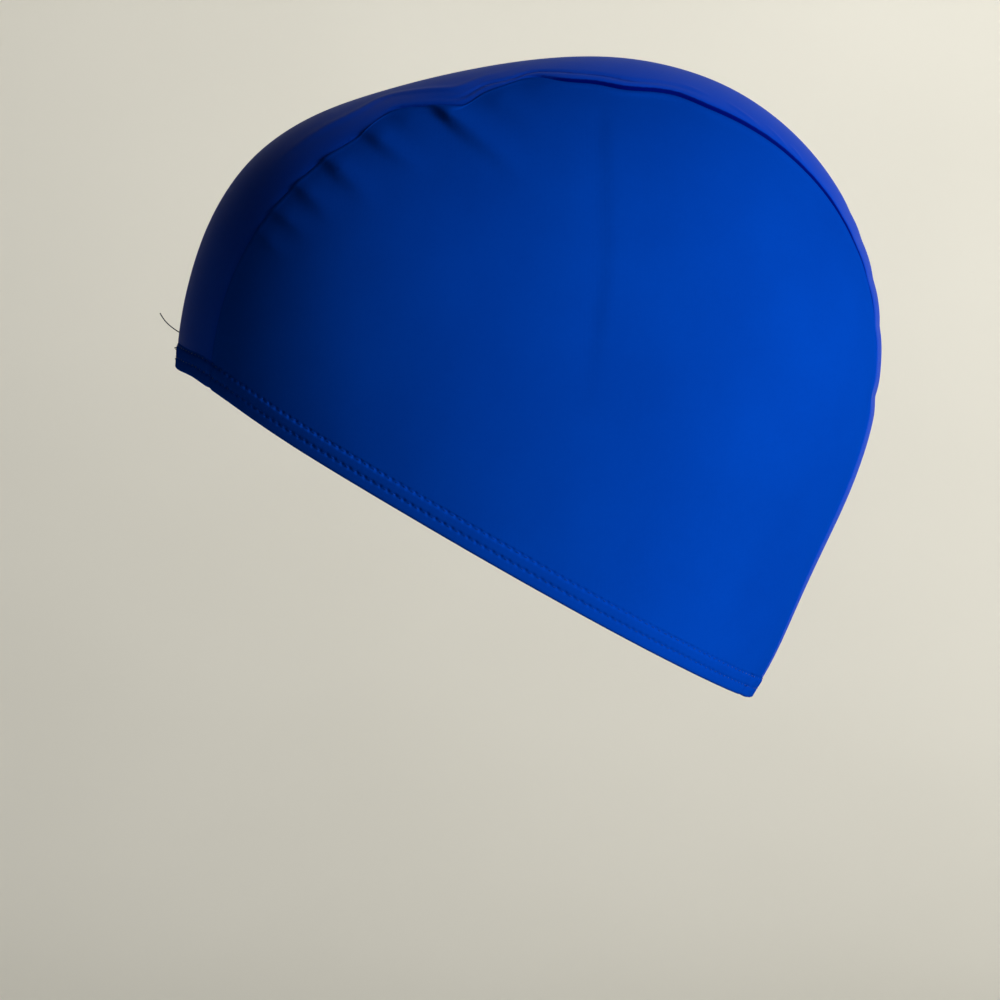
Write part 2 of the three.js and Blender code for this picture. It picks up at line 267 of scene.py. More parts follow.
CROWN = math.radians(90)
FOREHEAD_END = outline_point(turning_point(CROWN, math.radians(200), lambda a: outline_point(a)[2] > FOREHEAD_RISE))
NAPE_END = outline_point(turning_point(0.0, math.radians(-85), lambda a: outline_point(a)[2] > -NAPE_DROP))
HEM_LINE = (NAPE_END - FOREHEAD_END) / np.linalg.norm(NAPE_END - FOREHEAD_END)
HEM_UP = np.array([-HEM_LINE[2], 0.0, HEM_LINE[0]])
LIFT = WALL - outline_point(CROWN)[2]


def over_hem(points):
    return (points - FOREHEAD_END) @ HEM_UP


def pulled_up(points):
    """Points of the head form after the strip has pulled the hem up at the forehead."""
    behind = (points - FOREHEAD_END) @ HEM_LINE
    fade = 1 - smooth(over_hem(points), 0, 2 * HEM_PULL_BACK)
    reach = np.where(behind < HEM_PULL_PLACE, HEM_PULL_FRONT, HEM_PULL_BACK)
    pull = HEM_PULL * fade * np.exp(-(((behind - HEM_PULL_PLACE) / reach) ** 2))
    return on_form(points + HEM_UP * pull[..., None])


def seam_offset(side, angle):
    angle = np.asarray(angle, dtype=float)
    stray = sum(shift * WANDER_REACH * np.exp(-((angle - math.radians(at)) / math.radians(WANDER_SPREAD)) ** 2)
                for at, shift in WANDERS[side])
    return STRIP_HALF_WIDTH * section_value(STRIP, angle) + stray


def seam_ends(offset, height):
    def above(angle):
        return over_hem(section_point(angle, offset(angle))) > height
    return (turning_point(CROWN, math.radians(200), above), turning_point(CROWN, math.radians(-85), above))


class Loop:
    """Points round the cap at one height over the hem: turn 0 at the forehead, half a turn at the nape."""

    def __init__(self, height):
        def above(angle):
            return over_hem(outline_point(angle)) > height
        self.front = outline_point(turning_point(CROWN, math.radians(200), above))
        self.back = outline_point(turning_point(CROWN, math.radians(-85), above))

    def point(self, turn):
        turn = np.asarray(turn, dtype=float)
        place = ((1 - np.cos(turn)) / 2)[..., None]
        point = self.front * (1 - place) + self.back * place

        def point_at(reach):
            return np.stack([point[..., 0], reach, point[..., 2]], axis=-1)

        reach = last_inside(0.0, np.full(turn.shape, HALF_WIDTH), point_at)
        return point_at(np.sign(np.sin(turn)) * reach)

    def turn_of(self, point):
        flat = np.array([point[0], 0.0, point[2]])
        along = np.linalg.norm(flat - self.front) / np.linalg.norm(self.back - self.front)
        return math.acos(1 - 2 * along)


def seam_draw(angle):
    return np.interp(np.degrees(angle), *zip(*SEAM_DRAW))


def seam_dip(distance, angle, roll):
    """How far the fabric rolls in towards the seam."""
    t = np.clip(distance / roll, 0, 1)
    return 1.35 * SEAM_DIP * seam_draw(angle) * (1 - np.sqrt(1 - (1 - t) ** 2))


def seam_ridge(distance, angle):
    """The seam allowance under the fabric lifts a low ridge beside the seam."""
    return RIDGE_HEIGHT * seam_draw(angle) * np.exp(-(((distance - RIDGE_PLACE) / RIDGE_WIDTH) ** 2))


def gather_height(side, points):
    total = 0.0
    for at, lean, length, width, rise, steep in GATHERS[side]:
        angle = math.radians(at)
        root = section_point(angle, seam_offset(side, angle))
        slope = math.radians(lean)
        dx = points[..., 0] - root[0]
        dz = points[..., 2] - root[2]
        along = dx * math.cos(slope) - dz * math.sin(slope)
        across = dx * math.sin(slope) + dz * math.cos(slope) + 0.25 * np.sin(along / 5.0 + at)
        fade = (1 - smooth(along, 0, length * GATHER_LENGTH)) * (0.45 + 0.55 * smooth(along, 0, 6))
        spread = width * GATHER_WIDTH * np.where(across < 0, steep, 1.4) * (1 + 0.03 * np.clip(along, 0, None))
        total = total + rise * GATHER_RISE * fade * np.exp(-((across / spread) ** 2))
    return total


def pucker_depth(side, points, distance, reach):
    total = 0.0
    for at, depth in PUCKERS[side]:
        centre = outline_point(math.radians(at))
        along = np.hypot(points[..., 0] - centre[0], points[..., 2] - centre[2])
        fade = np.exp(-((distance / reach) ** 2))
        total = total + 1.2 * depth * PUCKER_DEPTH * fade * np.exp(-((along / PUCKER_WIDTH) ** 1.4))
    return total


def soft_noise(points, wave, seed):
    """Smooth seeded unevenness between -1 and 1, from a few sine waves."""
    rng = np.random.default_rng(seed)
    total = np.zeros(points.shape[:-1])
    for _ in range(7):
        direction = rng.normal(size=3)
        direction /= np.linalg.norm(direction)
        length = wave * rng.uniform(0.7, 1.6)
        total += np.sin(points @ direction * 2 * math.pi / length + rng.uniform(0, 2 * math.pi))
    return total / 7


def unevenness(points, waves):
    return sum(height * soft_noise(points, wave, seed) for height, wave, seed in waves)


def cloth_thickness(distance):
    """The cloth is thicker beside its seam, where the allowance is turned in under it."""
    return WALL + ALLOWANCE * (1 - smooth(distance, *ALLOWANCE_END))


def seam_shares(ends, steps):
    """Shares of the way along a seam, closest together where the side panels are gathered."""
    def share_at(angle):
        return (ends[0] - math.radians(angle)) / (ends[0] - ends[1])
    stops = (0.0, share_at(GATHERED[0]), share_at(GATHERED[1]), 1.0)
    parts = [np.linspace(stops[k], stops[k + 1], steps[k], endpoint=False) for k in range(3)]
    return np.concatenate(parts + [[1.0]])


# Meshes
def metres(points):
    shifted = points.copy()
    shifted[..., 2] += LIFT
    return shifted / 1000.0


def make_object(name, vertices, faces, material, sharp_edges=(), painted_groove_shade=()):
    mesh = bpy.data.meshes.new(name)
    mesh.from_pydata([tuple(v) for v in vertices], [], faces)
    mesh.update()
    mesh.polygons.foreach_set("use_smooth", [True] * len(mesh.polygons))
    if len(sharp_edges):
        wanted = {tuple(sorted(edge)) for edge in sharp_edges}
        flags = [tuple(sorted(edge.vertices)) in wanted for edge in mesh.edges]
        attribute = mesh.attributes.new("sharp_edge", "BOOLEAN", "EDGE")
        attribute.data.foreach_set("value", flags)
    # Painted shade: a share for each vertex by which the fabric material darkens the base colour in the seam grooves.
    if len(painted_groove_shade):
        mesh.attributes.new("painted_groove_shade", "FLOAT", "POINT").data.foreach_set("value", painted_groove_shade)
    mesh.materials.append(material)
    piece = bpy.data.objects.new(name, mesh)
    bpy.context.scene.collection.objects.link(piece)
    return piece


def wall_mesh(name, outer, inner, painted_groove_shade, material, flip):
    """A closed wall from a grid of outer points and the grid under it. A first or last row may be one point."""
    rows, columns = outer.shape[:2]
    points = np.concatenate([outer.reshape(-1, 3), inner.reshape(-1, 3)])
    keys = np.round(points * 1e4).astype(np.int64)
    _, first, index = np.unique(keys, axis=0, return_index=True, return_inverse=True)
    index = index.reshape(-1)
    half = rows * columns

    def top(i, j):
        return int(index[i * columns + j])

    def under(i, j):
        return int(index[half + i * columns + j])

    faces = []

    def add(*corners):
        kept = [c for k, c in enumerate(corners) if c != corners[k - 1]]
        if len(kept) >= 3 and len(set(kept)) == len(kept):
            faces.append(tuple(reversed(kept)) if flip else tuple(kept))

    for i in range(rows - 1):
        for j in range(columns - 1):
            add(top(i, j), top(i, j + 1), top(i + 1, j + 1), top(i + 1, j))
            add(under(i, j), under(i + 1, j), under(i + 1, j + 1), under(i, j + 1))
        add(top(i, 0), top(i + 1, 0), under(i + 1, 0), under(i, 0))
        add(top(i + 1, columns - 1), top(i, columns - 1), under(i, columns - 1), under(i + 1, columns - 1))
    for j in range(columns - 1):
        add(top(0, j + 1), top(0, j), under(0, j), under(0, j + 1))
        add(top(rows - 1, j), top(rows - 1, j + 1), under(rows - 1, j + 1), under(rows - 1, j))
    sharp = []
    for grid in (top, under):
        for i in range(rows - 1):
            sharp.append((grid(i, 0), grid(i + 1, 0)))
            sharp.append((grid(i, columns - 1), grid(i + 1, columns - 1)))
        for j in range(columns - 1):
            sharp.append((grid(0, j), grid(0, j + 1)))
            sharp.append((grid(rows - 1, j), grid(rows - 1, j + 1)))
    shade = np.concatenate([painted_groove_shade.reshape(-1), painted_groove_shade.reshape(-1)])[first]
    return make_object(name, metres(points[first]), faces, material, sharp, shade)


def arc_points(start, end, shares):
    """Points of the head form on the arcs that join two rows of points, seen from the head centre."""
    a = start / np.linalg.norm(start, axis=-1, keepdims=True)
    b = end / np.linalg.norm(end, axis=-1, keepdims=True)
    spread = np.arccos(np.clip(np.sum(a * b, axis=-1), -1, 1))
    spread = np.maximum(spread, 1e-6)[:, None, None]
    t = shares[..., None]
    mixed = a[:, None] * np.sin((1 - t) * spread) + b[:, None] * np.sin(t * spread)
    return on_form(mixed)


def storage_crease(points):
    """The faint upright crease where the cap was folded flat, on the left side."""
    line = CREASE_PLACE - CREASE_LEAN * smooth(-points[..., 2], -45, 25)
    away = points[..., 0] - line
    strength = smooth(points[..., 2], -5, 25) * (1 - smooth(points[..., 2], 68, 80))
    return CREASE_STEP * strength * np.tanh(away / 0.9) * np.exp(-(away / 7) ** 2)


def side_panel(side, material):
    sign = -1 if side == "left" else 1
    height = HEM_HEIGHT + HEM_CLEAR

    def offset(angle):
        return seam_offset(side, angle) + SEAM_CLEAR

    ends = seam_ends(offset, height)
    loop = Loop(height)
    shares = seam_shares(ends, PANEL_STEPS)
    angles = ends[0] + (ends[1] - ends[0]) * shares
    top = section_point(angles, offset(angles))
    turns = loop.turn_of(top[0]) + (loop.turn_of(top[-1]) - loop.turn_of(top[0])) * shares
    bottom = loop.point(turns)
    length = np.linalg.norm(bottom - top, axis=-1)
    steps = (np.linspace(0, 1, PANEL_ROWS + 1)[None, :] ** 1.9) * np.ones((len(shares), 1))
    base = arc_points(top, bottom, steps)
    base[0] = top[0]
    base[-1] = top[-1]
    base = pulled_up(base)
    distance = steps * length[:, None]
    distance[0] = 0
    distance[-1] = 0
    taper = smooth(length, 2, 20)[:, None]
    relief = gather_height(side, base) * taper - pucker_depth(side, base, distance, PUCKER_REACH)
    relief = relief - seam_dip(distance, angles[:, None], PANEL_EDGE_ROLL)
    relief = relief + seam_ridge(distance, angles[:, None]) + unevenness(base, PANEL_WAVES)
    if side == "left":
        relief = relief + storage_crease(base)
    normal = normals_of(base)
    thick = cloth_thickness(distance)
    mirror = np.array([1.0, sign, 1.0])
    outer = (base + normal * relief[..., None]) * mirror
    inner = (base + normal * (relief - thick)[..., None]) * mirror
    # Painted shade: the base colour is darkened along the panel's edge in the seam groove, where shadow falls.
    painted_groove_shade = 0.8 * seam_draw(angles)[:, None] * (1 - smooth(distance, 0.2, 0.7))
    return wall_mesh(f"side_panel_{side}_fabric", outer, inner, painted_groove_shade, material, flip=side == "right")


def crown_strip(material):
    height = HEM_HEIGHT + HEM_CLEAR
    spacing = np.sin(np.linspace(-math.pi / 2, math.pi / 2, STRIP_COLUMNS + 1))
    rows = []
    unders = []
    painted_groove_shades = []
    for place in spacing:
        side = "left" if place < 0 else "right"
        sign = -1.0 if place < 0 else 1.0
        reach = abs(place)

        def edge(angle):
            return seam_offset(side, angle) - SEAM_CLEAR

        def offset(angle):
            return reach * edge(angle)

        ends = seam_ends(offset, height)
        angles = ends[0] + (ends[1] - ends[0]) * seam_shares(ends, STRIP_STEPS)
        base = pulled_up(section_point(angles, offset(angles)))
        distance = edge(angles) - offset(angles)
        other = "right" if side == "left" else "left"
        far = edge(angles) + offset(angles)
        relief = -pucker_depth(side, base, distance, PUCKER_STRIP_REACH)
        relief = relief - pucker_depth(other, base, far, PUCKER_STRIP_REACH)
        relief = relief - seam_dip(distance, angles, STRIP_EDGE_ROLL)
        relief = relief + unevenness(base * np.array([1, sign, 1]), STRIP_WAVES)
        relief = relief + strip_creases(side, angles, distance)
        normal = normals_of(base)
        thick = cloth_thickness(distance)
        mirror = np.array([1.0, sign, 1.0])
        rows.append((base + normal * relief[..., None]) * mirror)
        unders.append((base + normal * (relief - thick)[..., None]) * mirror)
        # Painted shade: the base colour is darkened along the strip's edge in the seam groove and, over the crown,
        # along the dip of the second line, where shadow falls.
        degrees = np.degrees(angles)
        second = smooth(degrees, 74, 82) * (1 - smooth(degrees, 98, 101))
        line = 0.5 * second * np.exp(-((distance - roll_line(degrees)) / 0.55) ** 2)
        painted_groove_shades.append(np.maximum(0.8 * seam_draw(angles) * (1 - smooth(distance, 0.9, 1.8)), line))
    outer = np.stack(rows, axis=1)
    inner = np.stack(unders, axis=1)
    return wall_mesh("crown_strip_fabric", outer, inner, np.stack(painted_groove_shades, axis=1), material, flip=True)


def strip_creases(side, angles, distance):
    """Long rolls that the stretched strip shows beside its seams."""
    degrees = np.degrees(angles)
    over = smooth(degrees, 62, 80) * (1 - smooth(degrees, 104, 116))
    roll = 0.3 * over * np.exp(-((distance - roll_line(degrees)) / 0.8) ** 2)
    front = smooth(degrees, 98, 112) * (1 - smooth(degrees, 128, 142))
    path = 9.0 + 3.0 * np.sin(np.radians(degrees - 98) * 2.0)
    ridge = 0.35 * front * np.exp(-((distance - path) / 1.8) ** 2)
    shift = 0 if side == "left" else 6
    return ridge - roll + fine_creases(degrees + shift, distance)


def roll_line(degrees):
    return np.interp(degrees, *zip(*ROLL_LINE))


def fine_creases(degrees, distance):
    total = 0.0
    for angle_a, distance_a, angle_b, distance_b, height in STRIP_CREASES:
        run = np.array([(angle_b - angle_a) * DEGREE, distance_b - distance_a])
        along = (degrees - angle_a) * DEGREE
        away = distance - distance_a
        share = np.clip((along * run[0] + away * run[1]) / (run @ run), 0, 1)
        gap = np.hypot(along - share * run[0], away - share * run[1])
        total = total + height * np.sin(math.pi * (0.08 + 0.84 * share)) * np.exp(-((gap / 0.6) ** 2))
    return total


def hem_profile():
    """The hem's section, from its top down the outside, round the fold and up the inside: height and reach out."""
    outer = []
    for height in np.linspace(HEM_HEIGHT + 0.23, 1.2, HEM_OUTER_ROWS):
        swell = 0.32 * smooth(HEM_HEIGHT + 0.2 - height, 0, 1.2)
        pinch = sum(0.10 * math.exp(-((height - row) / 0.5) ** 2) for row in STITCH_ROWS)
        outer.append((height, swell - pinch))
    bend = [(0.75, 0.36), (0.4, 0.2), (0.15, -0.05), (0.02, -0.4), (0.0, -0.8), (0.05, -1.2), (0.25, -1.6),
            (0.6, -1.85)]
    inner = [(1.2, -1.95), (2.4, -1.95), (3.2, -1.85), (4.2, -1.98), (5.2, -1.98), (6.2, -1.85), (6.6, -1.7),
             (6.75, -1.4), (6.8, -1.1)]
    return outer + bend + inner


def hem_seam_groove(points):
    """The seams run on down across the hem."""
    angle = angle_of(points)
    depth = 0.0
    for side, sign in (("left", -1), ("right", 1)):
        away = np.abs(points[..., 1] * sign - seam_offset(side, angle))
        depth = depth + HEM_SEAM_DEPTH * np.exp(-((away / HEM_SEAM_WIDTH) ** 2))
    return depth


def hem_join_crease(points):
    """The upright join of the band, left of the nape."""
    away = (points[..., 0] - NAPE_END[0]) * HEM_LINE[0] + (points[..., 2] - NAPE_END[2]) * HEM_LINE[2] + JOIN_PLACE
    near = points[..., 1] < 0
    dip = JOIN_DEPTH * np.exp(-((away / JOIN_WIDTH) ** 2))
    return near * (dip - 0.28 * np.exp(-(((away - 1.3) / 0.8) ** 2)))


def needle_pull(row, run, total):
    """Dimples where a row of stitches goes through the hem."""
    _, _, wanted = loop_by_length(STITCH_ROWS[row], STITCH_PITCH)
    pitch = total / len(wanted)
    place = np.mod(run / pitch + 0.5 * row, 1)
    return np.exp(-(((place - 0.5) * pitch / NEEDLE_REACH) ** 2))


def hem_band(material):
    profile = hem_profile()
    turns = np.linspace(0, 2 * math.pi, HEM_STEPS, endpoint=False)
    rings = []
    for height, out in profile:
        base = pulled_up(Loop(height).point(turns))
        relief = out + unevenness(base, HEM_WAVES) - hem_seam_groove(base) * (1 if out > -1 else 0.4)
        relief = relief - hem_join_crease(base) * (1 if out > -1 else 0)
        if out > -0.2:
            closed = np.concatenate([base, base[:1]])
            run = np.concatenate([[0], np.cumsum(np.linalg.norm(np.diff(closed, axis=0), axis=1))])
            for row, at in enumerate(STITCH_ROWS):
                near = math.exp(-((height - at) / NEEDLE_SPREAD) ** 2)
                if near > 0.01:
                    relief = relief - NEEDLE_DEPTH * near * needle_pull(row, run[:-1], run[-1])
        rings.append(base + normals_of(base) * relief[..., None])
    grid = np.stack(rings, axis=1)
    steps, columns = grid.shape[:2]
    faces = []
    for i in range(steps):
        k = (i + 1) % steps
        for j in range(columns):
            m = (j + 1) % columns
            faces.append((i * columns + j, k * columns + j, k * columns + m, i * columns + m))
    sharp = []
    for i in range(steps):
        k = (i + 1) % steps
        sharp.append((i * columns, k * columns))
    return make_object("hem_band_fabric", metres(grid.reshape(-1, 3)), faces, material, sharp)


def tube(points, radius, sides=6):
    """Vertices and faces of a closed tube along points, in the points' unit."""
    points = np.asarray(points, dtype=float)
    tangents = np.gradient(points, axis=0)
    tangents /= np.linalg.norm(tangents, axis=1, keepdims=True)
    helper = np.array([0.31, 0.17, 0.93])
    first = np.cross(tangents, helper)
    first /= np.linalg.norm(first, axis=1, keepdims=True)
    second = np.cross(tangents, first)
    radius = np.broadcast_to(radius, (len(points),))
    ring = np.linspace(0, 2 * math.pi, sides, endpoint=False)
    vertices = (points[:, None] + radius[:, None, None] * (first[:, None] * np.cos(ring)[None, :, None]
                                                         + second[:, None] * np.sin(ring)[None, :, None]))
    vertices = vertices.reshape(-1, 3)
    faces = []
    for i in range(len(points) - 1):
        for j in range(sides):
            k = (j + 1) % sides
            faces.append((i * sides + j, i * sides + k, (i + 1) * sides + k, (i + 1) * sides + j))
    faces.append(tuple(range(sides - 1, -1, -1)))
    last = (len(points) - 1) * sides
    faces.append(tuple(last + j for j in range(sides)))
    return vertices, faces


def joined_tubes(name, runs, material):
    vertices, faces, start = [], [], 0
    for points, radius, sides in runs:
        v, f = tube(points, radius, sides)
        vertices.append(v)
        faces.extend(tuple(c + start for c in face) for face in f)
        start += len(v)
    return make_object(name, metres(np.concatenate(vertices)), faces, material)


def hem_out(height):
    profile = hem_profile()[:HEM_OUTER_ROWS]
    heights = [p[0] for p in profile][::-1]
    outs = [p[1] for p in profile][::-1]
    return float(np.interp(height, heights, outs))


def loop_by_length(height, spacing, start=0.0):
    """Turns that are evenly spaced along a loop, and the loop itself."""
    loop = Loop(height)
    turns = np.linspace(0, 2 * math.pi, 4001)
    points = loop.point(turns)
    run = np.concatenate([[0], np.cumsum(np.linalg.norm(np.diff(points, axis=0), axis=1))])
    count = int(round(run[-1] / spacing))
    wanted = (np.arange(count) + start) * run[-1] / count
    return loop, lambda s: np.interp(np.mod(s, run[-1]), run, turns), wanted


def hem_stitches(material):
    runs = []
    rng = np.random.default_rng(3)
    for k, height in enumerate(STITCH_ROWS):
        loop, turn_at, wanted = loop_by_length(height, STITCH_PITCH, start=0.5 * k)
        out = hem_out(height)
        for s in wanted:
            half = STITCH_HALF * rng.uniform(0.85, 1.12)
            tilt = rng.uniform(-0.12, 0.12)
            local = np.linspace(-half, half, 7)
            base = pulled_up(loop.point(turn_at(s + local)) + HEM_UP * (tilt * local / half)[:, None])
            bow = 0.02 - 0.26 * (local / half) ** 2
            base = base + normals_of(base) * (out + bow - hem_seam_groove(base))[:, None]
            radius = STITCH_RADIUS * np.sqrt(np.clip(1.05 - (local / half) ** 6 * 0.6, 0.1, 1))
            runs.append((base, radius, 6))
    return joined_tubes("hem_stitches", runs, material)


def hem_inner_stitches(material):
    """The looper thread that covers the raw edge inside the hem."""
    low, _, wanted = loop_by_length(STITCH_ROWS[0], STITCH_PITCH)
    high = Loop(STITCH_ROWS[1])
    turns = np.arange(2 * len(wanted) + 1) / (2 * len(wanted)) * 2 * math.pi
    base = np.where((np.arange(len(turns)) % 2 == 0)[:, None], low.point(turns), high.point(turns))
    base = pulled_up(base)
    middles = (base[:-1] + base[1:]) / 2
    path = np.empty((2 * len(middles), 3))
    path[0::2] = base[:-1] - normals_of(base[:-1]) * LOOPER_DEPTHS[0]
    path[1::2] = middles - normals_of(middles) * LOOPER_DEPTHS[1]
    return joined_tubes("hem_inner_stitches", [(path, LOOPER_RADIUS, 5)], material)


# Materials
def new_material(name):
    material = bpy.data.materials.new(name)
    material.use_nodes = True
    tree = material.node_tree
    shader = tree.nodes["Principled BSDF"]
    return material, tree, shader


def node(tree, kind, **settings):
    made = tree.nodes.new(kind)
    for key, value in settings.items():
        setattr(made, key, value)
    return made


def fabric_material(name, base, deep, across=(1.0, 0.0, 0.0), gloss_level=0.0, sheen=0.0, sheen_tint=(0.1, 0.3, 1.0),
                    knit_pitch=0.00055, bump=0.4):
    """Smooth stretch knit: fine ribs, slow unevenness of colour and gloss, and a soft sheen."""
    material, tree, shader = new_material(name)
    links = tree.links
    coordinates = node(tree, "ShaderNodeTexCoord")
    cloud = node(tree, "ShaderNodeTexNoise")
    cloud.inputs["Scale"].default_value = 28
    cloud.inputs["Detail"].default_value = 3
    links.new(coordinates.outputs["Object"], cloud.inputs["Vector"])
    grain = node(tree, "ShaderNodeTexNoise")
    grain.inputs["Scale"].default_value = 900
    grain.inputs["Detail"].default_value = 2
    links.new(coordinates.outputs["Object"], grain.inputs["Vector"])
    blend = node(tree, "ShaderNodeMath", operation="MULTIPLY_ADD")
    blend.inputs[1].default_value = 0.3
    links.new(grain.outputs["Fac"], blend.inputs[0])
    links.new(cloud.outputs["Fac"], blend.inputs[2])
    # Painted shade: a vertex attribute that is high beside the seams is subtracted from the colour ramp's input, so
    # the base colour darkens there as if in the shadow of the seam grooves.
    painted_groove_shade = node(tree, "ShaderNodeAttribute", attribute_name="painted_groove_shade")
    shaded = node(tree, "ShaderNodeMath", operation="SUBTRACT")
    links.new(blend.outputs["Value"], shaded.inputs[0])
    links.new(painted_groove_shade.outputs["Fac"], shaded.inputs[1])
    ramp = node(tree, "ShaderNodeValToRGB")
    ramp.color_ramp.elements[0].position = 0.4
    ramp.color_ramp.elements[0].color = (*deep, 1)
    ramp.color_ramp.elements[1].position = 0.9
    ramp.color_ramp.elements[1].color = (*base, 1)
    # Darkest stop: the near-black navy that the painted shade in the seam grooves darkens towards.
    dark = ramp.color_ramp.elements.new(0.0)
    dark.color = (0.0002, 0.003, 0.12, 1)
    links.new(shaded.outputs["Value"], ramp.inputs["Fac"])
    links.new(ramp.outputs["Color"], shader.inputs["Base Color"])
    gloss = node(tree, "ShaderNodeMapRange")
    gloss.inputs["To Min"].default_value = 0.50
    gloss.inputs["To Max"].default_value = 0.60
    links.new(cloud.outputs["Fac"], gloss.inputs["Value"])
    links.new(gloss.outputs["Result"], shader.inputs["Roughness"])
    ribs = node(tree, "ShaderNodeTexWave", wave_type="BANDS", bands_direction="DIAGONAL")
    ribs.inputs["Scale"].default_value = 2 * math.pi / (20 * knit_pitch)
    ribs.inputs["Distortion"].default_value = 0.6
    ribs.inputs["Detail"].default_value = 1
    turned = node(tree, "ShaderNodeMapping")
    turned.inputs["Scale"].default_value = across
    links.new(coordinates.outputs["Object"], turned.inputs["Vector"])
    links.new(turned.outputs["Vector"], ribs.inputs["Vector"])
    height = node(tree, "ShaderNodeMath", operation="MULTIPLY_ADD")
    height.inputs[1].default_value = 1.5
    links.new(grain.outputs["Fac"], height.inputs[0])
    links.new(ribs.outputs["Fac"], height.inputs[2])
    relief = node(tree, "ShaderNodeBump")
    relief.inputs["Strength"].default_value = bump
    relief.inputs["Distance"].default_value = 0.000012
    links.new(height.outputs["Value"], relief.inputs["Height"])
    links.new(relief.outputs["Normal"], shader.inputs["Normal"])
    shader.inputs["Specular IOR Level"].default_value = gloss_level
    shader.inputs["Specular Tint"].default_value = (0.02, 0.2, 1.0, 1)
    shader.inputs["Sheen Weight"].default_value = sheen
    shader.inputs["Sheen Roughness"].default_value = 0.35
    shader.inputs["Sheen Tint"].default_value = (*sheen_tint, 1)
    return material


def thread_material(name, colour):
    material, tree, shader = new_material(name)
    links = tree.links
    coordinates = node(tree, "ShaderNodeTexCoord")
    twist = node(tree, "ShaderNodeTexNoise")
    twist.inputs["Scale"].default_value = 1500
    links.new(coordinates.outputs["Object"], twist.inputs["Vector"])
    ramp = node(tree, "ShaderNodeValToRGB")
    ramp.color_ramp.elements[0].position = 0.3
    ramp.color_ramp.elements[0].color = (*[c * 0.55 for c in colour], 1)
    ramp.color_ramp.elements[1].position = 0.7
    ramp.color_ramp.elements[1].color = (*colour, 1)
    links.new(twist.outputs["Fac"], ramp.inputs["Fac"])
    links.new(ramp.outputs["Color"], shader.inputs["Base Color"])
    relief = node(tree, "ShaderNodeBump")
    relief.inputs["Strength"].default_value = 0.4
    relief.inputs["Distance"].default_value = 0.00004
    links.new(twist.outputs["Fac"], relief.inputs["Height"])
    links.new(relief.outputs["Normal"], shader.inputs["Normal"])
    shader.inputs["Roughness"].default_value = 0.42
    shader.inputs["Specular IOR Level"].default_value = 0.3
    shader.inputs["Specular Tint"].default_value = (0.15, 0.35, 1.0, 1)
    return material


panel_fabric = fabric_material("panel_fabric", (0.0003, 0.042, 0.36), (0.0003, 0.036, 0.32))
strip_fabric = fabric_material("strip_fabric", (0.0004, 0.045, 0.45), (0.0003, 0.038, 0.40), across=(0.0, 1.0, 0.0),
                               gloss_level=0.02, sheen=0.035, sheen_tint=(0.2, 0.4, 1.0))
hem_fabric = fabric_material("hem_fabric", (0.0003, 0.040, 0.35), (0.0003, 0.034, 0.31))
stitch_thread = thread_material("stitch_thread", (0.0004, 0.03, 0.28))
tail_thread = thread_material("tail_thread", (0.004, 0.008, 0.035))

# Camera, at the photograph's angle: square to the wearer's left side and a little above
DISTANCE = 1.0
ELEVATION = math.radians(2.6)
PIXEL = 0.000275
FRAME_PIXELS = 1000
MIDDLE_PIXEL = FRAME_PIXELS // 2
HEAD_CENTRE_PIXEL = (565, 400)
target = Vector(((MIDDLE_PIXEL - HEAD_CENTRE_PIXEL[0]) * PIXEL, 0,
                 (HEAD_CENTRE_PIXEL[1] - MIDDLE_PIXEL) * PIXEL + LIFT / 1000))
view = Vector((0, math.cos(ELEVATION), -math.sin(ELEVATION)))
camera_data = bpy.data.cameras.new("camera")
camera_data.sensor_width = 36
camera_data.lens = 36 * DISTANCE / (FRAME_PIXELS * PIXEL)
camera_data.clip_start = 0.01
camera_data.clip_end = 50
camera = bpy.data.objects.new("camera", camera_data)
camera.location = target - view * DISTANCE
camera.rotation_euler = view.to_track_quat("-Z", "Y").to_euler()
bpy.context.scene.collection.objects.link(camera)
bpy.context.scene.camera = camera

# Pieces
left = side_panel("left", panel_fabric)
right = side_panel("right", panel_fabric)
strip = crown_strip(strip_fabric)
hem = hem_band(hem_fabric)
stitches = hem_stitches(stitch_thread)
inner_stitches = hem_inner_stitches(stitch_thread)

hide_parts("side_panel_left")
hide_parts("side_panel_right")
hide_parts("crown_strip")
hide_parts("hem_band")


def from_pixel(x, y, depth=0.0):
    """A point of the frame in millimetres from the head centre, depth millimetres nearer than the cap's middle."""
    out = DISTANCE * 1000 - depth
    right_way = (x - MIDDLE_PIXEL) * PIXEL * out
    up_way = (MIDDLE_PIXEL - y) * PIXEL * out
    up = np.array([0, math.sin(ELEVATION), math.cos(ELEVATION)])
    eye = np.array(camera.location) * 1000 - np.array([0, 0, LIFT])
    return eye + np.array(view) * out + np.array([1.0, 0, 0]) * right_way + up * up_way


def tail_points(trail, count=14, depth=3.0):
    raw = np.array([from_pixel(x, y, depth) for x, y in trail])
    t = np.linspace(0, len(raw) - 1, count)
    smoothed = np.stack([np.interp(t, range(len(raw)), raw[:, k]) for k in range(3)], axis=1)
    for _ in range(3):
        smoothed[1:-1] = (smoothed[:-2] + 2 * smoothed[1:-1] + smoothed[2:]) / 4
    return smoothed


tails = [
    (tail_points([(160, 313), (164, 320), (170, 326), (177, 331), (184, 335)]), 0.16, 6),
    (tail_points([(174.5, 348), (177, 347.5), (184, 347)], 6), 0.2, 6),
    (tail_points([(175.5, 349.5), (178, 349), (184, 348)], 6), 0.14, 6),
    (tail_points([(175, 359), (178, 358), (184, 357)], 6), 0.2, 6),
]
tail = joined_tubes("hem_thread_tails", tails, tail_thread)

for piece in (left, right, strip, hem, stitches, inner_stitches, tail):
    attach(piece, "root")

# Floor, backdrop and light
FLOOR = -0.46
FLOOR_FRONT = -4.0
WALL_BACK = 1.75
WALL_TOP = 3.2
BACKDROP_REACH = 4.5
BACKDROP_BEND = 0.8


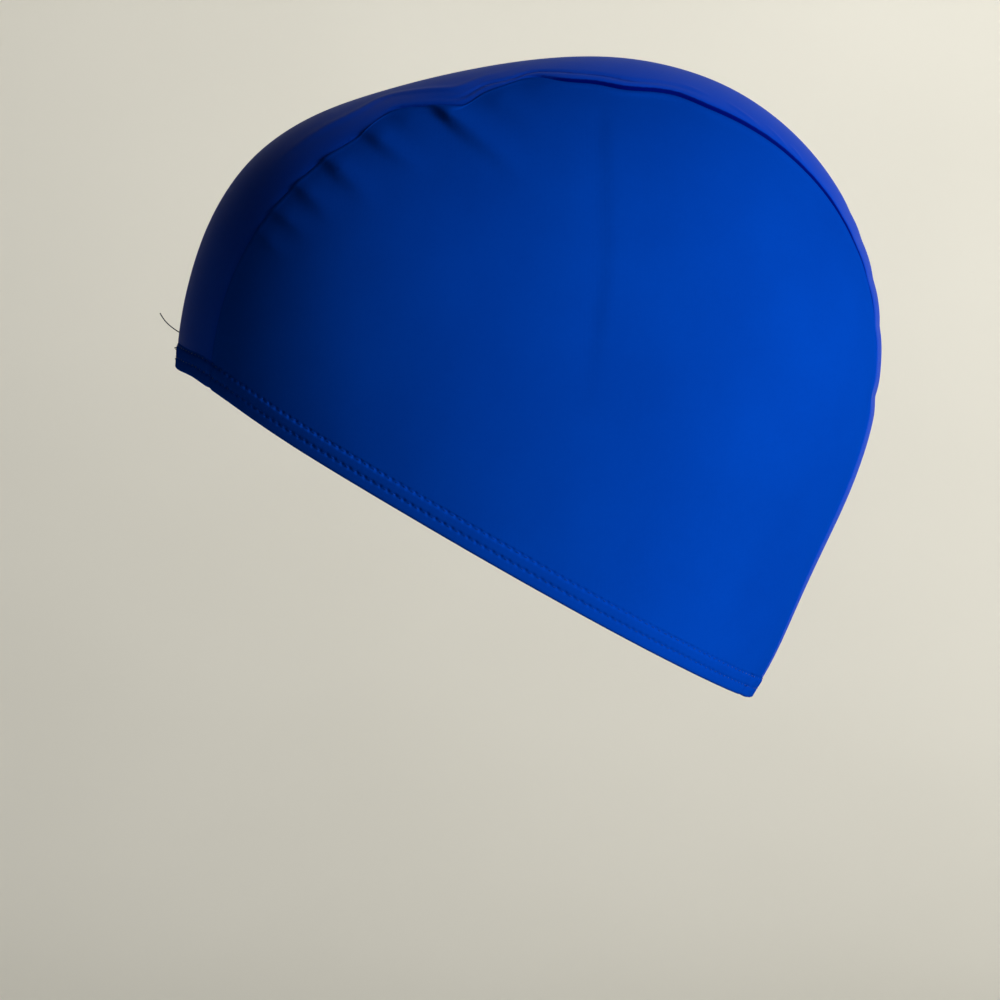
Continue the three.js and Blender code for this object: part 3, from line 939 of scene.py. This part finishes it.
def backdrop():
    material, tree, shader = new_material("backdrop")
    coordinates = node(tree, "ShaderNodeTexCoord")
    mottle = node(tree, "ShaderNodeTexNoise")
    mottle.inputs["Scale"].default_value = 3
    tree.links.new(coordinates.outputs["Object"], mottle.inputs["Vector"])
    ramp = node(tree, "ShaderNodeValToRGB")
    ramp.color_ramp.elements[0].position = 0.3
    ramp.color_ramp.elements[0].color = (0.72, 0.705, 0.635, 1)
    ramp.color_ramp.elements[1].position = 0.75
    ramp.color_ramp.elements[1].color = (0.76, 0.745, 0.675, 1)
    tree.links.new(mottle.outputs["Fac"], ramp.inputs["Fac"])
    tree.links.new(ramp.outputs["Color"], shader.inputs["Base Color"])
    shader.inputs["Roughness"].default_value = 0.9
    shader.inputs["Specular IOR Level"].default_value = 0.1
    profile = [(FLOOR_FRONT, FLOOR)]
    bend = BACKDROP_BEND
    for k in range(25):
        turn = math.pi / 2 * k / 24
        profile.append((WALL_BACK - bend + bend * math.sin(turn), FLOOR + bend - bend * math.cos(turn)))
    profile.append((WALL_BACK, WALL_TOP))
    vertices, faces = [], []
    for y, z in profile:
        vertices.append((-BACKDROP_REACH, y, z))
        vertices.append((BACKDROP_REACH, y, z))
    for k in range(len(profile) - 1):
        faces.append((2 * k, 2 * k + 1, 2 * k + 3, 2 * k + 2))
    make_object("backdrop", vertices, faces, material)


backdrop()


def area_light(name, location, aim, size, power, colour):
    data = bpy.data.lights.new(name, "AREA")
    data.shape = "RECTANGLE"
    data.size, data.size_y = size
    data.energy = power
    data.color = colour
    lamp = bpy.data.objects.new(name, data)
    lamp.location = location
    direction = Vector(aim) - Vector(location)
    lamp.rotation_euler = direction.to_track_quat("-Z", "Y").to_euler()
    bpy.context.scene.collection.objects.link(lamp)
    return lamp


middle = (0, 0, LIFT / 1000)
area_light("key_window", (1.62, -1.46, 0.214), middle, (0.7, 0.9), 61, (1.0, 0.985, 0.96))
area_light("wall_wash", (1.35, 0.55, -0.32), (1.15, 1.75, -0.42), (0.9, 1.6), 15.2, (1.0, 0.98, 0.95))
area_light("floor_wash", (0.0, 1.25, 0.62), (0.0, 1.4, -0.4), (1.6, 0.5), 2.9, (1.0, 0.985, 0.96))
area_light("crown_glow", (0.5, 0.7, 1.4), middle, (1.2, 1.2), 3.5, (0.96, 0.98, 1.0))

world = bpy.data.worlds.new("world")
world.use_nodes = True
world.node_tree.nodes["Background"].inputs["Color"].default_value = (0.80, 0.80, 0.79, 1)
world.node_tree.nodes["Background"].inputs["Strength"].default_value = 0.04
bpy.context.scene.world = world
bpy.context.scene.view_settings.view_transform = "Standard"
bpy.context.scene.view_settings.look = "None"
